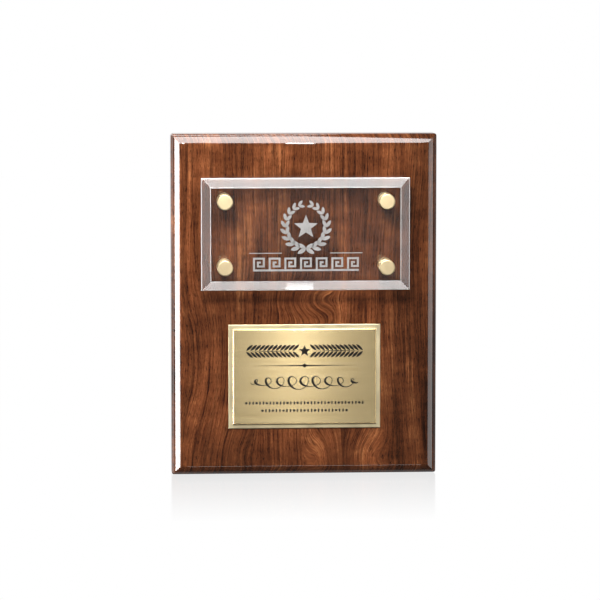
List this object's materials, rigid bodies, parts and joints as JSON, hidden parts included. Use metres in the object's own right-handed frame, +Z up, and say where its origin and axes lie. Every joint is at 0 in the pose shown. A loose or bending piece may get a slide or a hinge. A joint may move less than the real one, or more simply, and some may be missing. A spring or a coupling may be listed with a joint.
{
  "type": "wall plaque",
  "caption": "Walnut wall plaque with a bevelled glass plate held off its face on brass stand-offs and a two-layer brass engraving plate below.",
  "frame": {"origin": "middle of the board's back face, which lies against the wall", "axes": "+Z up the board, +Y out of its back into the wall, so the front faces -Y and +X is to the right seen from the front"},
  "size_m": [0.1778, 0.0408, 0.2286],
  "materials": {
    "walnut": "gloss",
    "clear_glass": "polished",
    "satin_brass": "satin",
    "polished_brass": "polished",
    "brushed_brass": "satin",
    "clear_nylon": "satin",
    "tape": "matte",
    "zinc_steel": "satin",
    "black_enamel": "satin",
    "frosted_etching": "matte"
  },
  "bodies": {
    "plaque": {"walnut_board": "walnut", "glass_plate": "clear_glass", "border_plate": "polished_brass", "border_tape": "tape", "engraved_plate": "brushed_brass", "engraved_tape": "tape", "keyhole_plate": "zinc_steel", "keyhole_screw_top": "zinc_steel", "keyhole_screw_bottom": "zinc_steel", "barrel_top_left": "satin_brass", "barrel_screw_top_left": "zinc_steel", "rear_washer_top_left": "clear_nylon", "front_washer_top_left": "clear_nylon", "sleeve_top_left": "clear_nylon", "barrel_top_right": "satin_brass", "barrel_screw_top_right": "zinc_steel", "rear_washer_top_right": "clear_nylon", "front_washer_top_right": "clear_nylon", "sleeve_top_right": "clear_nylon", "barrel_bottom_left": "satin_brass", "barrel_screw_bottom_left": "zinc_steel", "rear_washer_bottom_left": "clear_nylon", "front_washer_bottom_left": "clear_nylon", "sleeve_bottom_left": "clear_nylon", "barrel_bottom_right": "satin_brass", "barrel_screw_bottom_right": "zinc_steel", "rear_washer_bottom_right": "clear_nylon", "front_washer_bottom_right": "clear_nylon", "sleeve_bottom_right": "clear_nylon"},
    "cap_top_left": {"cap_top_left": "satin_brass"},
    "cap_top_right": {"cap_top_right": "satin_brass"},
    "cap_bottom_left": {"cap_bottom_left": "satin_brass"},
    "cap_bottom_right": {"cap_bottom_right": "satin_brass"}
  },
  "joints": [
    {"name": "unscrew_top_left", "type": "slide", "parent": "plaque", "child": "cap_top_left", "axis": [0, -1, 0], "range_m": [0, 0.013]},
    {"name": "unscrew_top_right", "type": "slide", "parent": "plaque", "child": "cap_top_right", "axis": [0, -1, 0], "range_m": [0, 0.013]},
    {"name": "unscrew_bottom_left", "type": "slide", "parent": "plaque", "child": "cap_bottom_left", "axis": [0, -1, 0], "range_m": [0, 0.013]},
    {"name": "unscrew_bottom_right", "type": "slide", "parent": "plaque", "child": "cap_bottom_right", "axis": [0, -1, 0], "range_m": [0, 0.013]}
  ]
}
